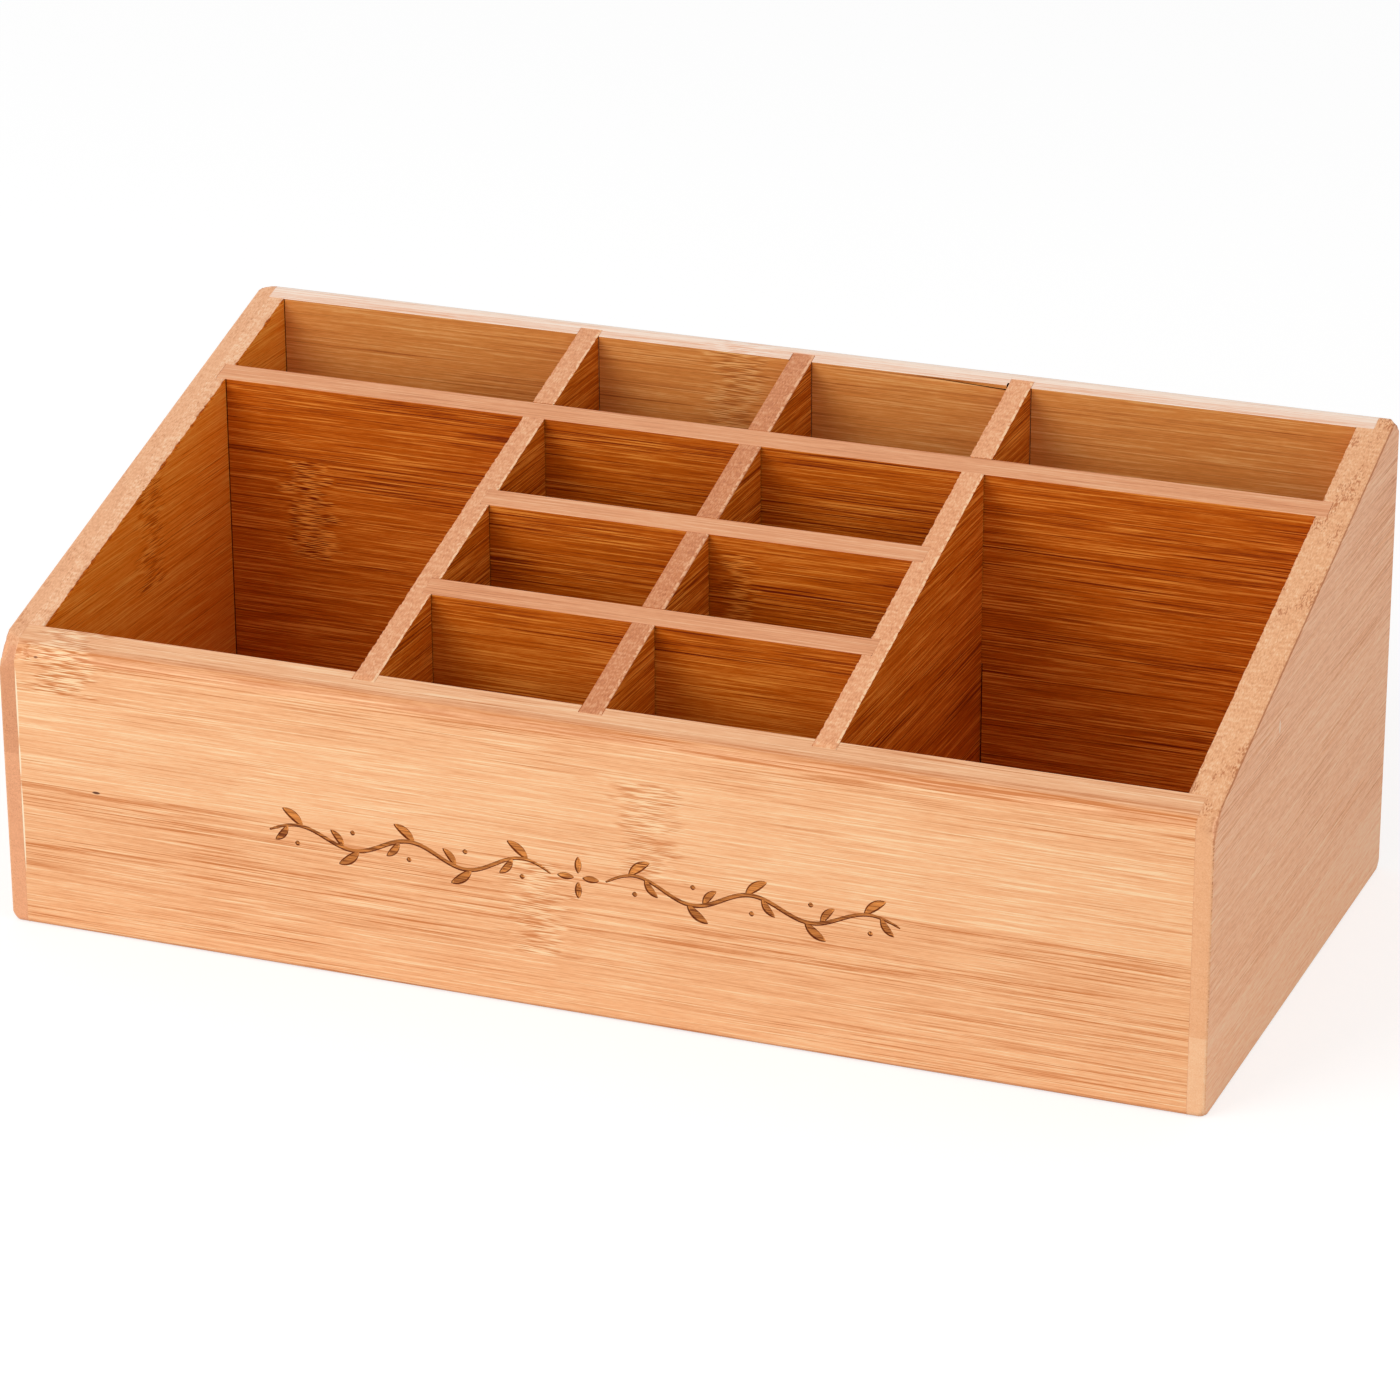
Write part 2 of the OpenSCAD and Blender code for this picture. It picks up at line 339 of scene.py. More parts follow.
# Finishes: the dark, middle and pale colour of the fibres, how strong their streaks and their flecks
# are, and the gloss. The inner ones are darker and deeper than the outer ones, as painted shade of the
# compartments, and the joint's near-black is painted shade in crevices, corners, the crack and the chip.
TONES = {
    "front": (srgb(208, 124, 62), srgb(248, 184, 131), srgb(255, 222, 175), 1.0, 0.06, 0.4),
    "side": (srgb(214, 140, 94), srgb(249, 184, 138), srgb(255, 212, 172), 0.75, 0.16, 0.4),
    "side_rim": (srgb(196, 122, 74), srgb(243, 181, 135), srgb(255, 218, 180), 1.0, 0.06, 0.4),
    "right_rim": (srgb(196, 120, 70), srgb(242, 178, 128), srgb(255, 216, 174), 1.0, 0.06, 0.4),
    "left_end": (srgb(176, 102, 60), srgb(242, 173, 127), srgb(252, 196, 154), 0.7, 0.06, 0.4),
    "right_end": (srgb(200, 130, 82), srgb(240, 176, 126), srgb(254, 210, 166), 0.7, 0.06, 0.4),
    "front_rim": (srgb(208, 130, 76), srgb(245, 184, 136), srgb(255, 220, 178), 0.9, 0.06, 0.4),
    "back_rim": (srgb(236, 168, 126), srgb(255, 230, 210), srgb(255, 244, 232), 0.7, 0.06, 0.4),
    "rim": (srgb(192, 114, 66), srgb(232, 160, 112), srgb(250, 201, 157), 0.8, 0.06, 0.4),
    "pale_rim": (srgb(200, 122, 72), srgb(239, 167, 118), srgb(253, 206, 160), 0.8, 0.06, 0.4),
    "centre_rim": (srgb(172, 92, 50), srgb(213, 134, 84), srgb(238, 178, 134), 0.8, 0.06, 0.4),
    # The inner finishes: darker, deeper colours as painted shade inside the compartments
    "inner": (srgb(114, 32, 0), srgb(195, 91, 4), srgb(239, 149, 58), 1.25, 0.06, 0.1),
    "side_inner": (srgb(142, 50, 2), srgb(231, 120, 14), srgb(250, 170, 72), 1.1, 0.06, 0.15),
    "rear_inner": (srgb(160, 78, 20), srgb(221, 138, 62), srgb(250, 192, 120), 0.7, 0.06, 0.25),
    "engraved": (srgb(120, 56, 10), srgb(244, 154, 74), srgb(250, 184, 110), 0.6, 0.05, 0.2),
    # Painted shade: near-black for the joints' crevices, the inner corners, and the crack and chip
    "shaded_joint": (srgb(36, 12, 2), srgb(58, 22, 4), srgb(76, 32, 8), 0.6, 0.0, 0.0),
}

# The level of the middle colour, the colour of burnt wood in the engraving, the relief, and the
# roughness between dark streaks and in them
MIDDLE_LEVEL = 0.55
BURNT = srgb(82, 34, 10)
BUMP_STRENGTH, BUMP_HEIGHT = 0.3, 0.06 * MM
ROUGHNESS = (0.46, 0.60)

# Noises: how often they change along the grain, across the strips and through the board, per
# millimetre, and their detail
ZONES = ((0.014, 0.15, 0.15), 2.0)
BANDS = ((0.018, 0.9, 0.9), 2.0)
STREAKS = ((0.026, 2.2, 2.2), 1.0)
LINES = ((0.018, 3.1, 3.1), 0.5)
PALE_FIBRES = ((0.032, 2.6, 2.6), 1.0)
HAIRS = ((0.06, 4.6, 4.6), 1.0)
FLECKS = ((0.35, 2.6, 2.6), 1.0)
PATCHES = ((0.11, 0.42, 0.42), 2.0)
DASHES = ((0.17, 3.9, 3.9), 1.0)
CLUSTERS = ((0.035, 0.20, 0.20), 2.0)
GRIT = ((0.25, 2.8, 2.8), 2.0)
DOTS = ((0.22, 3.0, 3.0), 0.0)
HATCH = ((0.9, 0.9, 0.35), 1.0)
GLINTS = ((0.7, 1.0, 1.0), 1.0)

# Values between which nearly all of a noise lies, and between which the things that it draws set in
NOISE_SPAN = (0.3, 0.7)
BUSY_STEP = (0.40, 0.60)
STREAK_STEP = (0.54, 0.61)
LINE_STEP = (0.61, 0.66)
PALE_STEP = (0.56, 0.63)
DASH_STEP = (0.40, 0.60)
CLUSTER_STEP = (0.55, 0.62)
DOT_STEP = (0.50, 0.60)
GLINT_STEP = (0.44, 0.54)

# Fibres: the ground's level, how they shift it, how far the finer noises spread it, and how dense
# the dark ones are in quiet and in busy zones, and in dark and in pale strips
GROUND_LEVEL = 0.52
BUSY_SHIFT, STREAK_SHIFT, LINE_SHIFT, PALE_SHIFT = 0.06, -0.28, -0.36, 0.24
HAIR_REACH, BAND_REACH, ZONE_REACH = 0.16, 0.04, 0.02
QUIET, BUSY = 0.30, 1.0
TONE_SPAN = (0.2, 0.8)
DENSE, SPARSE = 1.35, 0.55
# How far a strip's tone shifts the level, and how far the fibres of strips and of boards are slid
TONE_SHIFT = 0.26
STRIP_SLIDE, BOARD_SLIDE = 400.0, 37.0
# Glue seams between strips: half width of the line without and with its soft edge, and how dark
SEAM_WIDTH = (0.08, 0.22)
SEAM_SHIFT = 0.10
# Knuckles: how ragged their ends are, where they begin to fade, and the level of their dashes
KNUCKLE_RAGGED, KNUCKLE_FULL = 0.5, 0.3
DASH_LEVEL = 1.15
# Soft edge of a speck, as the square of the distance over its half size
SPECK_EDGE = (1.2, 0.5)
# Part of the normal along the grain: where the cut of the fibres shows, and from the slant to an end
CUT_STEP = (0.12, 0.28)
END_STEP = (0.5, 0.8)
# Cut fibres: their level, grit and hatching, how much of the speckle an end keeps, how much of the
# fibres shows through, how far the strip's tone shifts an end, and how dark the dots are
CUT_LEVEL, GRIT_REACH, HATCH_REACH = 0.54, 0.34, -0.20
END_SPECKLE, FIBRES_THROUGH, END_TONE, DOT_SHIFT = 0.4, 0.35, 0.3, -0.45
# Edge shade and glints: parts of the normal upward and sideways where the painted shade of the arris
# and the pale dashes show, and how far from the rim's edge the pale dashes begin and are full. The
# dashes are frayed fibres, painted paler as a highlight.
ABOVE_STEP = (0.08, 0.3)
ASIDE_STEP = (0.5, 0.8)
GLINT_START, GLINT_FULL = 0.8, 0.55


def grain_space(graph, board):
    """Millimetres along the grain, across the strips and through the board."""
    place = graph.add("ShaderNodeTexCoord").outputs["Object"]
    split = graph.add("ShaderNodeSeparateXYZ", {0: place})
    return [graph.math("MULTIPLY", split.outputs[axis], 1 / MM) for axis in board.axes]


def cut_of_bamboo(graph, board, seed, along, across, through):
    """A tone for each strip and layer, a place in its own fibres, and how speckled its cut is."""
    strip = graph.cell(across, board.seam, board.strip)
    layer = graph.cell(through, board.face, board.layer)
    cell = graph.add("ShaderNodeCombineXYZ", {0: strip, 1: layer, 2: float(seed)})
    chance = graph.add("ShaderNodeTexWhiteNoise", {"Vector": cell.outputs[0]})
    parts = graph.add("ShaderNodeSeparateColor", {0: chance.outputs["Color"]})
    tone = parts.outputs[0]
    for index, given in enumerate(board.tones):
        tone = graph.blend(graph.same(strip, index - 1), tone, given)
    first = graph.same(layer, 0)
    (first_shift, first_speckle), (other_shift, other_speckle) = board.plies
    tone = graph.math("ADD", tone, graph.blend(first, other_shift, first_shift))
    speckled = graph.blend(first, other_speckle, first_speckle)
    own = graph.math("ADD", along, BOARD_SLIDE * seed)
    slid = graph.shifted(own, parts.outputs[1], STRIP_SLIDE)
    place = graph.add("ShaderNodeCombineXYZ", {0: slid, 1: across, 2: through})
    return tone, place.outputs[0], speckled


def fibre_level(graph, place, tone, strength, fleck):
    """Level of the fibres between the darkest and the palest colour, 0 to 1, and the dark streaks."""
    zone = graph.noise(place, *ZONES)
    busy = graph.ramp(zone, *BUSY_STEP, QUIET, BUSY)
    busy = graph.product(busy, graph.ramp(tone, *TONE_SPAN, DENSE, SPARSE, "LINEAR"))
    streaks = graph.product(graph.ramp(graph.noise(place, *STREAKS), *STREAK_STEP), busy)
    lines = graph.product(graph.ramp(graph.noise(place, *LINES), *LINE_STEP), busy)
    pale = graph.ramp(graph.noise(place, *PALE_FIBRES), *PALE_STEP)
    level = GROUND_LEVEL
    shifts = ((busy, BUSY_SHIFT), (streaks, STREAK_SHIFT), (lines, LINE_SHIFT), (pale, PALE_SHIFT))
    for fibres, shift in shifts:
        level = graph.shifted(level, fibres, shift * strength)
    level = graph.math("ADD", level, graph.spread(graph.noise(place, *HAIRS), HAIR_REACH * strength))
    level = graph.math("ADD", level, graph.spread(graph.noise(place, *BANDS), BAND_REACH * strength))
    level = graph.math("ADD", level, graph.spread(zone, ZONE_REACH * strength))
    level = graph.math("ADD", level, graph.spread(graph.noise(place, *FLECKS), fleck))
    own = graph.math("MULTIPLY_ADD", tone, TONE_SHIFT, -TONE_SHIFT / 2)
    return graph.math("ADD", level, own), streaks


def with_seams(graph, board, across, level):
    """A faint line where two strips are glued."""
    away = graph.math("PINGPONG", graph.math("SUBTRACT", across, board.seam), board.strip / 2)
    return graph.math("SUBTRACT", level, graph.ramp(away, *SEAM_WIDTH, SEAM_SHIFT, 0.0))


def knuckle_mask(graph, along, across, patches, centre, before, after, low, high, strength):
    """1 at a knuckle of the bamboo, ragged and fading out along the grain, within one strip."""
    reach = (-KNUCKLE_RAGGED * before, KNUCKLE_RAGGED * after)
    ragged = graph.ramp(patches, *NOISE_SPAN, *reach, "LINEAR")
    away = graph.math("ADD", graph.math("SUBTRACT", along, centre), ragged)
    left = graph.ramp(away, -before, -KNUCKLE_FULL * before)
    right = graph.ramp(away, after, KNUCKLE_FULL * after)
    above = graph.math("GREATER_THAN", across, low)
    below = graph.math("LESS_THAN", across, high)
    mask = graph.product(graph.product(left, right), graph.product(above, below))
    return graph.product(mask, strength)


def with_knuckles(graph, board, along, across, place, level):
    """The short dashes of the knuckles over the fibres."""
    if not board.knuckles:
        return level
    patches = graph.noise(place, *PATCHES)
    dashes = graph.noise(place, *DASHES)
    for *knuckle, dark in board.knuckles:
        dash = graph.ramp(dashes, *DASH_STEP, dark, DASH_LEVEL, "LINEAR")
        level = graph.blend(knuckle_mask(graph, along, across, patches, *knuckle), level, dash)
    return level


def with_specks(graph, board, along, across, colour):
    """Single short marks on the board."""
    for place, height, length, width, mark in board.specks:
        far = graph.math("DIVIDE", graph.math("SUBTRACT", along, place), length)
        up = graph.math("DIVIDE", graph.math("SUBTRACT", across, height), width)
        away = graph.math("ADD", graph.product(far, far), graph.product(up, up))
        colour = graph.tint(graph.ramp(away, *SPECK_EDGE), colour, mark)
    return colour


def with_end_grain(graph, board, place, tone, speckled, level):
    """Bundles of fibres seen as dots where they are cut across, on the slant and at the ends."""
    facing = graph.math("ABSOLUTE", graph.facing()[board.axes[0]])
    cluster = graph.ramp(graph.noise(place, *CLUSTERS), *CLUSTER_STEP)
    cluster = graph.product(cluster, graph.ramp(facing, *END_STEP, board.bundles, 0.0))
    dots = graph.product(graph.ramp(graph.noise(place, *DOTS), *DOT_STEP), cluster)
    grit = graph.spread(graph.noise(place, *GRIT), GRIT_REACH)
    hatch = graph.spread(graph.noise(place, *HATCH), HATCH_REACH)
    share = graph.product(speckled, graph.ramp(facing, *END_STEP, 1.0, END_SPECKLE))
    speckle = graph.shifted(CUT_LEVEL, graph.math("ADD", grit, hatch), share)
    speckle = graph.blend(FIBRES_THROUGH, speckle, level)
    at_end = graph.ramp(facing, *END_STEP, 0.0, END_TONE)
    speckle = graph.math("ADD", speckle, graph.product(graph.math("SUBTRACT", tone, 0.5), at_end))
    speckle = graph.shifted(speckle, dots, DOT_SHIFT)
    return graph.blend(graph.ramp(facing, *CUT_STEP), level, speckle)


def with_edge_shade_and_fray_glints(graph, board, place, through, level):
    """Painted shade on the rim's arris, and pale dashes of frayed fibres painted as a highlight."""
    if not board.edge and not board.glint:
        return level
    facing = graph.facing()
    above = graph.ramp(facing["Z"], *ABOVE_STEP)
    # Painted shade: darker where the normal turns sideways under the rim, on the rounded arris
    if board.edge:
        aside = graph.math("ABSOLUTE", facing[board.axes[2]])
        dark = graph.product(graph.ramp(aside, *ASIDE_STEP), above)
        level = graph.shifted(level, dark, -board.edge)
    # Pale dashes by the rim's right edge: frayed fibres, painted paler as a highlight
    if board.glint:
        edge, strength = board.glint
        beside = graph.ramp(through, edge - GLINT_START, edge - GLINT_FULL)
        dashes = graph.ramp(graph.noise(place, *GLINTS), *GLINT_STEP)
        level = graph.shifted(level, graph.product(graph.product(beside, above), dashes), strength)
    return level


def bamboo(name, board, seed, finish, burn=0.0):
    """Pressed bamboo strips with fibre streaks, a tone for each strip, knuckles and end grain."""
    dark, middle, light, strength, fleck, gloss = TONES[finish]
    graph = Graph(name)
    along, across, through = grain_space(graph, board)
    tone, place, speckled = cut_of_bamboo(graph, board, seed, along, across, through)
    level, streaks = fibre_level(graph, place, tone, strength, fleck)
    level = with_seams(graph, board, across, level)
    level = with_knuckles(graph, board, along, across, place, level)
    level = with_end_grain(graph, board, place, tone, speckled, level)
    level = with_edge_shade_and_fray_glints(graph, board, place, through, level)
    colour = graph.colours(level, ((0.0, dark), (MIDDLE_LEVEL, middle), (1.0, light)))
    colour = with_specks(graph, board, along, across, colour)
    if burn:
        colour = graph.tint(burn, colour, BURNT)
    relief = {"Strength": BUMP_STRENGTH, "Distance": BUMP_HEIGHT, "Height": level}
    shader = graph.add("ShaderNodeBsdfPrincipled", {
        "Base Color": colour,
        "Roughness": graph.ramp(streaks, 0.0, 1.0, *ROUGHNESS, "LINEAR"),
        "Specular IOR Level": gloss,
        "Normal": graph.add("ShaderNodeBump", relief).outputs[0],
    })
    graph.add("ShaderNodeOutputMaterial", {0: shader.outputs[0]})
    return graph.material


def whole_faces(node):
    """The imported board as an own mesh, with its flat faces in one piece again."""
    mesh = bmesh.new()
    mesh.from_mesh(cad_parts[node].data)
    bmesh.ops.remove_doubles(mesh, verts=mesh.verts, dist=NEAR / 10)
    bmesh.ops.dissolve_limit(mesh, angle_limit=FLAT_ANGLE, verts=mesh.verts, edges=mesh.edges)
    return mesh


def bisect(mesh, parts, place, normal):
    """Cuts the parts where the plane through a place goes through them."""
    bmesh.ops.bisect_plane(mesh, geom=parts, plane_co=place, plane_no=normal, dist=NEAR / 4)


def slice_at(mesh, axis, places):
    """Cuts the faces at places along an axis, so that their edges end there."""
    normal = Vector([float(axis == i) for i in range(3)])
    for place in places:
        bisect(mesh, mesh.verts[:] + mesh.edges[:] + mesh.faces[:], normal * place, normal)


def rim_height(y):
    """Height of the slanted rim at a place from the front to the back."""
    rise = (REAR_HIGH.z - CROSS_HIGH.z) / (REAR_HIGH.y - CROSS_HIGH.y)
    return REAR_HIGH.z + (y - REAR_HIGH.y) * rise


SLANT = Vector((0.0, rim_height(0.0) - rim_height(1.0), 1.0)).normalized()


def rim_depth(place):
    """How far a place lies under the slanted rim."""
    return (rim_height(place.y) - place.z) * SLANT.z


def slice_under_rim(mesh, depths):
    """Cuts the faces along lines at depths under the rim."""
    for depth in depths:
        start = Vector((0.0, 0.0, rim_height(0.0) - depth / SLANT.z))
        bisect(mesh, mesh.verts[:] + mesh.edges[:] + mesh.faces[:], start, SLANT)


def free_lengths(name, mesh):
    """Splits a board's rim where another board meets it, so that the arris stops there."""
    if BOARDS[name].axes == ALONG_DEPTH:
        slice_at(mesh, 1, (INNER_FRONT, INNER_BACK))
        return
    slice_at(mesh, 0, (-INNER_RIGHT, INNER_RIGHT))
    if "divider" in name:
        for other in LONG_DIVIDERS:
            low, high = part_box(other)
            slice_at(mesh, 0, (low.x, high.x))


def glued_up(mesh, name):
    """Closes the glue gap at the ends of the front and back panels and of the cross dividers."""
    if name in ("front_panel", "back_panel"):
        for vert in mesh.verts:
            if abs(vert.co.x) > PANEL_END - NEAR:
                vert.co.x += math.copysign(GLUE, vert.co.x)
    if "cross" in name:
        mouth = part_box("right_divider")[0].x + 2 * NEAR
        slice_at(mesh, 0, (-mouth, mouth))
        low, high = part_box(name)
        for vert in mesh.verts:
            if abs(vert.co.x) > mouth - NEAR / 2:
                vert.co.y += GLUE if vert.co.y > (low.y + high.y) / 2 else -GLUE
            if abs(vert.co.x) > high.x - NEAR:
                vert.co.x += math.copysign(GLUE, vert.co.x)


def is_frayed(name, place):
    """True for a place on an edge of the board's rim that is frayed."""
    return any(abs(place.x - side) < NEAR for side, *_ in FRAYED.get(name, ()))


def arris_width(edge, name):
    """How far an edge of a board is softened."""
    if not edge.is_manifold or edge.calc_face_angle_signed(0.0) < SHARP_ANGLE:
        return 0.0
    ends = [vert.co for vert in edge.verts]
    run = (ends[1] - ends[0]).normalized()
    if all(abs(end.x) > RIGHT_FACE - NEAR for end in ends):
        return OUTER_ARRIS
    if all(abs(end.x) > INNER_RIGHT + NEAR for end in ends) and abs(run.x) < STANDING:
        return FLUSH_ARRIS
    on_rim = any(face.normal.z > FACING for face in edge.link_faces)
    if on_rim and all(is_frayed(name, end) for end in ends):
        return 0.0
    if on_rim and edge.calc_length() > GROOVE_EDGE:
        return RIM_ARRIS
    if on_rim:
        return FLUSH_ARRIS
    if name in WALLS and all(within_walls(end) for end in ends):
        return 0.0
    return JOINT_ARRIS


def corner_lines(name):
    """Places along the width of a dark line of painted shade in the board's inner corners."""
    if name not in ("rear_divider", "back_panel"):
        return []
    places = [-INNER_RIGHT, INNER_RIGHT]
    if name == "back_panel":
        places += [box[end].x for box in map(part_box, LONG_DIVIDERS) for end in (0, 1)]
    return places


def line_corners(mesh, name):
    """Cuts narrow strips off the faces beside the inner corners, for the painted shade there."""
    for place in corner_lines(name):
        slice_at(mesh, 0, (place - CORNER_LINE, place + CORNER_LINE))


def within_walls(place, margin=NEAR):
    """True for a place inside the four walls or less than a margin into them."""
    return abs(place.x) < INNER_RIGHT + margin and INNER_FRONT - margin < place.y < INNER_BACK + margin


def in_corner(face, centre, name):
    """True for the narrow strips that a board shows in its inner corners, painted dark as shade."""
    if abs(face.normal.y) < FACING or centre.y > INNER_BACK + NEAR:
        return False
    return any(abs(centre.x - place) < CORNER_LINE for place in corner_lines(name))


def finish_of(face, name):
    """Slot of the finish of a board's face."""
    centre = face.calc_center_median()
    # The bottom's upper face, the compartments' floor, takes the inner colours: painted shade
    if name == "bottom_panel":
        return SHADED_INNER_FINISH if face.normal.z > STANDING else OUTER_FINISH
    # The strips in the inner corners are painted near-black as shade
    if in_corner(face, centre, name):
        return SHADED_JOINT_FINISH
    # Upright faces inside the walls take the darker inner colours: painted shade
    if abs(face.normal.z) < STANDING and within_walls(centre):
        return SHADED_INNER_FINISH
    if "side" in name and abs(face.normal.x) < STANDING:
        return END_FINISH if abs(face.normal.y) > END_FACING else RIM_FINISH
    if name == "back_panel":
        return RIM_FINISH if face.normal.dot(SLANT) > BACK_RIM else OUTER_FINISH
    return RIM_FINISH if face.normal.z > ROUNDED_RIM else OUTER_FINISH


def soften(mesh, name):
    """Marks each edge with its share of the widest softening, and each face with its finish."""
    weight = mesh.edges.layers.float.new("bevel_weight_edge")
    for edge in mesh.edges:
        edge[weight] = arris_width(edge, name) / OUTER_ARRIS
    for face in mesh.faces:
        face.material_index = finish_of(face, name)


def paint_joint_shade(piece):
    """Paints the softened upright edges inside the walls near-black, as shade in the joints' crevices."""
    for polygon in piece.data.polygons:
        is_upright = polygon.material_index == RIM_FINISH and abs(polygon.normal.z) < UPRIGHT
        if is_upright and within_walls(polygon.center, 2 * JOINT_ARRIS):
            polygon.material_index = SHADED_JOINT_FINISH


def rounded(inset, reach, loss):
    """A place near a corner, as its insets from the three faces, drawn in to the sanded surface.

    The loss says how much more is gone towards the corner's point.
    """
    out = Vector([1 - value / reach for value in inset])
    if min(out) <= 0:
        return inset
    side = 1 - loss * min(1.0, 2 * out.y * out.z)
    limit = math.sqrt(1 + side * side)
    if out.length > limit:
        out *= limit / out.length
    return [reach * (1 - value) for value in out]


def sanded(x, y, height, reach, loss):
    """A place by X, Y and its distance from the foot or the rim, drawn in to the sanded corners."""
    inset = rounded((RIGHT_FACE - abs(x), BACK_FACE - abs(y), height), reach, loss)
    return math.copysign(RIGHT_FACE - inset[0], x), math.copysign(BACK_FACE - inset[1], y), inset[2]


def round_corners(mesh):
    """Rounds the box's eight corners, as sanding leaves them, and leaves the edges between them."""
    for reach in (FOOT_CORNER, RIM_CORNER):
        steps = [reach * step / CORNER_LOOPS for step in range(1, CORNER_LOOPS + 1)]
        for sign in (-1, 1):
            slice_at(mesh, 0, [sign * (RIGHT_FACE - step) for step in steps])
            slice_at(mesh, 1, [sign * (BACK_FACE - step) for step in steps])
        if reach == FOOT_CORNER:
            slice_at(mesh, 2, steps)
        else:
            slice_under_rim(mesh, steps)
    for vert in mesh.verts:
        x, y, z = sanded(*vert.co, FOOT_CORNER, 0.0)
        depth = rim_depth(Vector((x, y, z)))
        x, y, depth = sanded(x, y, depth, RIM_CORNER, RIM_CORNER_LOSS[1 if x > 0 else -1])
        vert.co = (x, y, rim_height(y) - depth / SLANT.z)
    bmesh.ops.dissolve_degenerate(mesh, edges=mesh.edges, dist=NEAR)


def fray(mesh, edge):
    """Frays an edge of the rim, as a dull saw leaves it: small bites into the board."""
    side, into, low, high, depth, seed = edge
    chance = random.Random(seed)
    ahead = Vector((0.0, 1.0, 0.0))
    slice_at(mesh, 0, [side + into * FRAY_REACH])
    slice_under_rim(mesh, [FRAY_REACH])

    def is_near(vert):
        return abs(vert.co.x - side) < FRAY_REACH + NEAR and rim_depth(vert.co) < FRAY_REACH + NEAR

    y, places = low, []
    while y < high:
        places.append(y)
        faces = [face for face in mesh.faces if all(is_near(vert) for vert in face.verts)]
        parts = dict.fromkeys(part for face in faces for part in (face, *face.edges, *face.verts))
        bisect(mesh, list(parts), ahead * y, ahead)
        y += chance.uniform(*FRAY_STEP)
    bites = {round(y / NEAR): depth * chance.random() ** 2 for y in places}
    for vert in mesh.verts:
        bite = bites.get(round(vert.co.y / NEAR), 0.0)
        if bite and abs(vert.co.x - side) < NEAR and abs(rim_depth(vert.co)) < NEAR:
            vert.co.x += into * bite
            vert.co.z -= BITE_DROP * bite


def bake(piece):
    """Applies the piece's modifiers to its mesh."""
    graph = bpy.context.evaluated_depsgraph_get()
    mesh = bpy.data.meshes.new_from_object(piece.evaluated_get(graph))
    old, piece.data = piece.data, mesh
    piece.modifiers.clear()
    bpy.data.meshes.remove(old)


def remesh(piece, change, *values):
    """Runs a change on the piece's mesh."""
    mesh = bmesh.new()
    mesh.from_mesh(piece.data)
    change(mesh, *values)
    mesh.to_mesh(piece.data)
    mesh.free()


def add_object(name, mesh):
    """A finished bmesh as an object of the scene."""
    data = bpy.data.meshes.new(name)
    mesh.to_mesh(data)
    mesh.free()
    piece = bpy.data.objects.new(name, data)
    bpy.context.scene.collection.objects.link(piece)
    return piece


def softened(name, materials):
    """A board with its joints closed and its arrises softened."""
    mesh = whole_faces(name)
    free_lengths(name, mesh)
    glued_up(mesh, name)
    line_corners(mesh, name)
    mesh.normal_update()
    soften(mesh, name)
    piece = add_object(name + "_board", mesh)
    for material in materials:
        piece.data.materials.append(material)
    bevel = piece.modifiers.new("arris", "BEVEL")
    bevel.limit_method, bevel.offset_type = "WEIGHT", "OFFSET"
    bevel.width, bevel.segments, bevel.material = OUTER_ARRIS, ARRIS_SEGMENTS, RIM_FINISH
    bevel.use_clamp_overlap = False
    bake(piece)
    paint_joint_shade(piece)
    return piece


def cut_out(piece, cutters):
    """Cuts the cutters out of the piece and removes them. A cut has the cutter's finish."""
    for cutter in cutters:
        cut = piece.modifiers.new("cut", "BOOLEAN")
        cut.operation, cut.solver, cut.object = "DIFFERENCE", "EXACT", cutter
        cut.material_mode = "INDEX"
        bake(piece)
        bpy.data.objects.remove(cutter)


def shade(piece):
    """Smooth shading that keeps flat faces flat."""
    for polygon in piece.data.polygons:
        polygon.use_smooth = True
    piece.data.set_sharp_from_angle(angle=SHADE_ANGLE)
    normals = piece.modifiers.new("normals", "WEIGHTED_NORMAL")
    normals.keep_sharp, normals.weight = True, 100


def board_piece(name, materials, cutters=()):
    """A softened copy of a packed board, which stands for it."""
    piece = softened(name, materials)
    if name in WALLS:
        remesh(piece, round_corners)
    for edge in FRAYED.get(name, ()):
        remesh(piece, fray, edge)
    cut_out(piece, cutters)
    shade(piece)
    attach(piece, "root")
    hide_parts(name)


# The engraved ornament on the front, in millimetres: a garland of two mirrored leafy vines with four
# petals between them. The strokes' floors lie at depths a little apart, so that none coincide.
ORNAMENT_X, ORNAMENT_Z = -1.0, 35.5
VINE_START, VINE_LENGTH = 7.0, 73.0
VINE_WAVES = 2.5
VINE_RISE, VINE_LOSS = 2.7, 0.25
STEM_WIDTH, STEM_STEPS = 1.15, 96
LEAF_LENGTH, LEAF_WIDTH, LEAF_STEPS = 6.6, 2.4, 12
LEAF_ANGLE, SMALL_LEAF_ANGLE = math.radians(38), math.radians(52)
# Places of the leaves from the turn, as shares of the vine's length
LEAF_PLACE, SMALL_LEAF_PLACE = -0.02, 0.035
SMALL_LEAF = 0.8
LEAF_BEND = 0.5
PETAL_LENGTH, PETAL_WIDTH, PETAL_START = 4.2, 1.8, 1.1
BERRY_SIZE, BERRY_RISE = 1.3, 4.6
# How pointed strokes are at both ends: the width share left there, and the power of the swelling
LEAF_SWELL = (0.12, 0.75)
STEM_SWELL = (0.35, 0.4)
ENGRAVING_DEPTH = 0.35
LEAF_DEPTH, BERRY_DEPTH, SMALL_LEAF_DEPTH = 0.33, 0.32, 0.31
# How far a cutter starts above the face, and its floor's share of its width
STROKE_TOP = 0.2
FLOOR_SHARE = 0.7

# Cutters for the crack under the back panel's inner edge and the chip beside the right divider, in
# millimetres: for both ends the place from the divider and the lowest and highest place from the
# rim, and how deep they go
CRACK = (((-24.0, -0.375, -0.325), (0.0, -1.4, -1.1)), 1.0)
CHIP = (((-0.5, -1.7, 0.35), (0.0, -2.2, 0.5)), 0.9)
